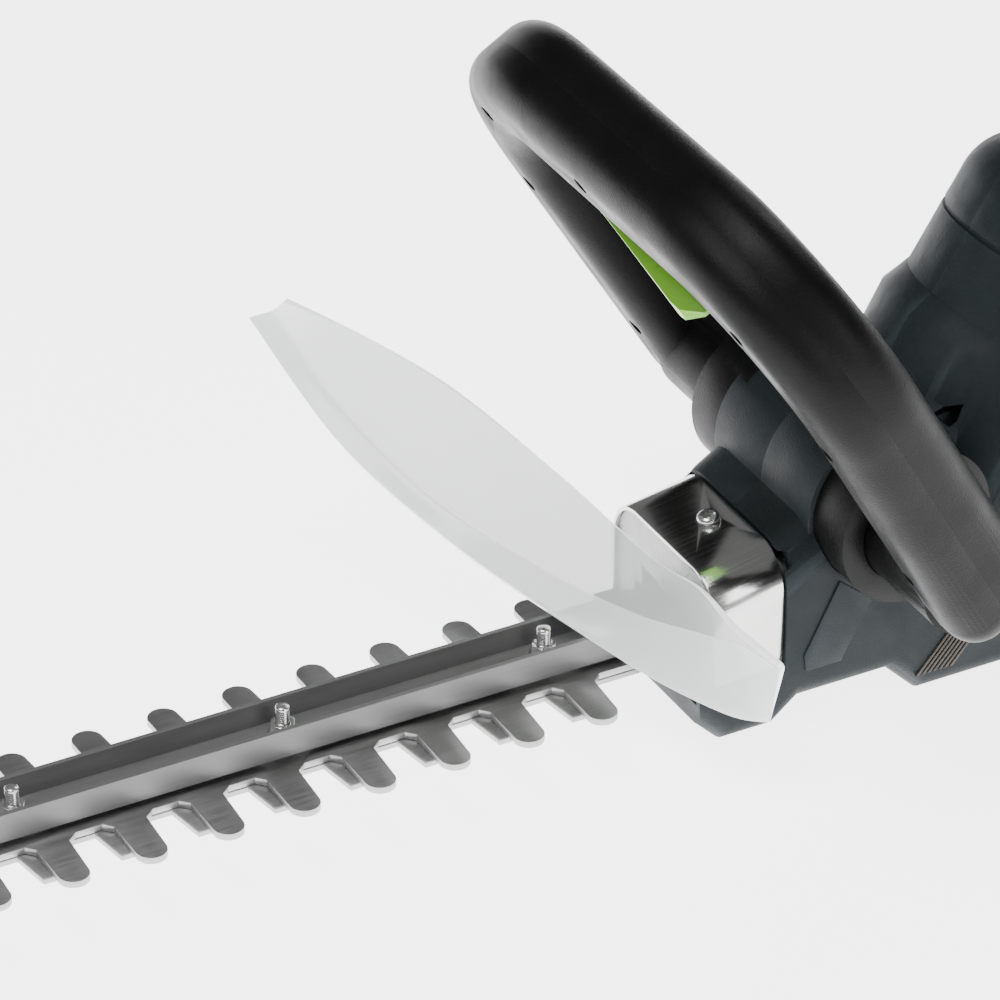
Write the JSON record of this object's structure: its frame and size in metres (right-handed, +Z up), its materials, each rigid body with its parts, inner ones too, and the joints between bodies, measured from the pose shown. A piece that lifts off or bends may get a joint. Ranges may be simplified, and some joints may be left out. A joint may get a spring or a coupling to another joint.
{
  "type": "hedge trimmer",
  "caption": "Cordless hedge trimmer with double-sided reciprocating blade, wrap-round front handle, clear hand guard and rear D-handle with slide-in battery.",
  "frame": {"origin": "centre of the flat sole under the motor housing", "axes": "+X forward along the blade, +Y to the left-hand side, +Z up"},
  "size_m": [0.91, 0.2649, 0.2347],
  "materials": {
    "slate_shell": "fine spark texture",
    "black_grip": "satin",
    "black_collar": "satin",
    "cast_alloy": "as cast",
    "stainless_sheet": "bright",
    "bright_zinc": "zinc plated",
    "blade_steel": "ground",
    "rail_steel": "dark grey",
    "drive_steel": "machined",
    "motor_iron": "varnished",
    "spring_steel": "drawn wire",
    "fan_plastic": "moulded",
    "clear_guard": "milky translucent",
    "green_plastic": "moulded",
    "battery_shell": "moulded",
    "cell_wrap": "wrapped cell",
    "board": "lacquered",
    "brass_blade": "plated"
  },
  "bodies": {
    "housing": {"housing_left": "slate_shell", "housing_right": "slate_shell", "loop_front_shell": "black_grip", "loop_rear_shell": "black_grip", "rear_switch": "black_grip", "front_switch": "black_grip", "terminal_block": "black_grip", "collar_left": "black_collar", "collar_right": "black_collar", "gear_case": "cast_alloy", "gear_cover": "cast_alloy", "front_bell": "cast_alloy", "rear_bell": "cast_alloy", "bracket": "stainless_sheet", "bracket_screw": "bright_zinc", "blade_nuts": "bright_zinc", "blade_washers": "bright_zinc", "blade_bolts": "bright_zinc", "loop_screws": "bright_zinc", "blade_rail": "rail_steel", "bearing_lower": "drive_steel", "bearing_upper": "drive_steel", "motor_bearings": "drive_steel", "lever_pin": "drive_steel", "trigger_pin": "drive_steel", "stator": "motor_iron", "lever_spring": "spring_steel", "trigger_spring": "spring_steel", "lock_spring": "spring_steel", "guard": "clear_guard", "controller_board": "board", "terminal_blades": "brass_blade"},
    "upper_blade": {"upper_blade": "blade_steel"},
    "lower_blade": {"lower_blade": "blade_steel"},
    "crank": {"crank_gear": "drive_steel", "crank_shaft": "drive_steel", "eccentric_upper": "drive_steel", "eccentric_lower": "drive_steel", "crank_spacers": "drive_steel"},
    "rotor": {"rotor_core": "motor_iron", "rotor_magnets": "motor_iron", "motor_shaft": "drive_steel", "pinion": "drive_steel", "fan": "fan_plastic"},
    "front_lever": {"front_lever": "green_plastic"},
    "trigger": {"trigger": "black_grip"},
    "lock_button": {"lock_button": "black_grip"},
    "battery": {"battery_lower": "battery_shell", "battery_upper": "battery_shell", "battery_cells": "cell_wrap", "battery_board": "board", "latch_spring": "spring_steel"},
    "latch": {"battery_latch": "black_grip"}
  },
  "joints": [
    {"name": "upper_blade_slide", "type": "slide", "parent": "housing", "child": "upper_blade", "axis": [1, 0, 0], "range_m": [-0.0075, 0.0075]},
    {"name": "lower_blade_slide", "type": "slide", "parent": "housing", "child": "lower_blade", "axis": [1, 0, 0], "range_m": [-0.0075, 0.0075]},
    {"name": "crank_turn", "type": "hinge", "parent": "housing", "child": "crank", "pos_m": [0.07, 0, 0.036], "axis": [0, 0, 1], "range_deg": [-90.5, 90.5]},
    {"name": "motor_turn", "type": "hinge", "parent": "housing", "child": "rotor", "pos_m": [0.034, 0, 0.044], "axis": [-0.5, 0, 0.866], "range_deg": [-362, 362]},
    {"name": "front_lever_squeeze", "type": "hinge", "parent": "housing", "child": "front_lever", "pos_m": [0.12904, -0.017, 0.20033], "axis": [0.8599, 0, -0.5105], "range_deg": [0, 6], "stiffness_Nm_per_rad": 0.5, "springref_deg": -8.59},
    {"name": "trigger_squeeze", "type": "hinge", "parent": "housing", "child": "trigger", "pos_m": [-0.098, 0, 0.125], "axis": [0, 1, 0], "range_deg": [0, 8], "stiffness_Nm_per_rad": 0.3, "springref_deg": -11.46},
    {"name": "lock_button_press", "type": "slide", "parent": "housing", "child": "lock_button", "axis": [0, 0, -1], "range_m": [0, 0.0025], "stiffness_N_per_m": 400, "springref_m": -0.002, "deforming": ["lock_spring"]},
    {"name": "battery_slide_out", "type": "slide", "parent": "housing", "child": "battery", "axis": [-1, 0, 0], "range_m": [0, 0.06]},
    {"name": "battery_latch_press", "type": "slide", "parent": "battery", "child": "latch", "axis": [0, 0, -1], "range_m": [0, 0.0018], "stiffness_N_per_m": 500, "springref_m": -0.002, "deforming": ["latch_spring"]}
  ],
  "couplings": [
    {"joint": "lower_blade_slide", "follows": "upper_blade_slide", "ratio": -1},
    {"joint": "crank_turn", "follows": "upper_blade_slide", "rad_per_m": -209.44},
    {"joint": "motor_turn", "follows": "upper_blade_slide", "rad_per_m": 837.76}
  ]
}
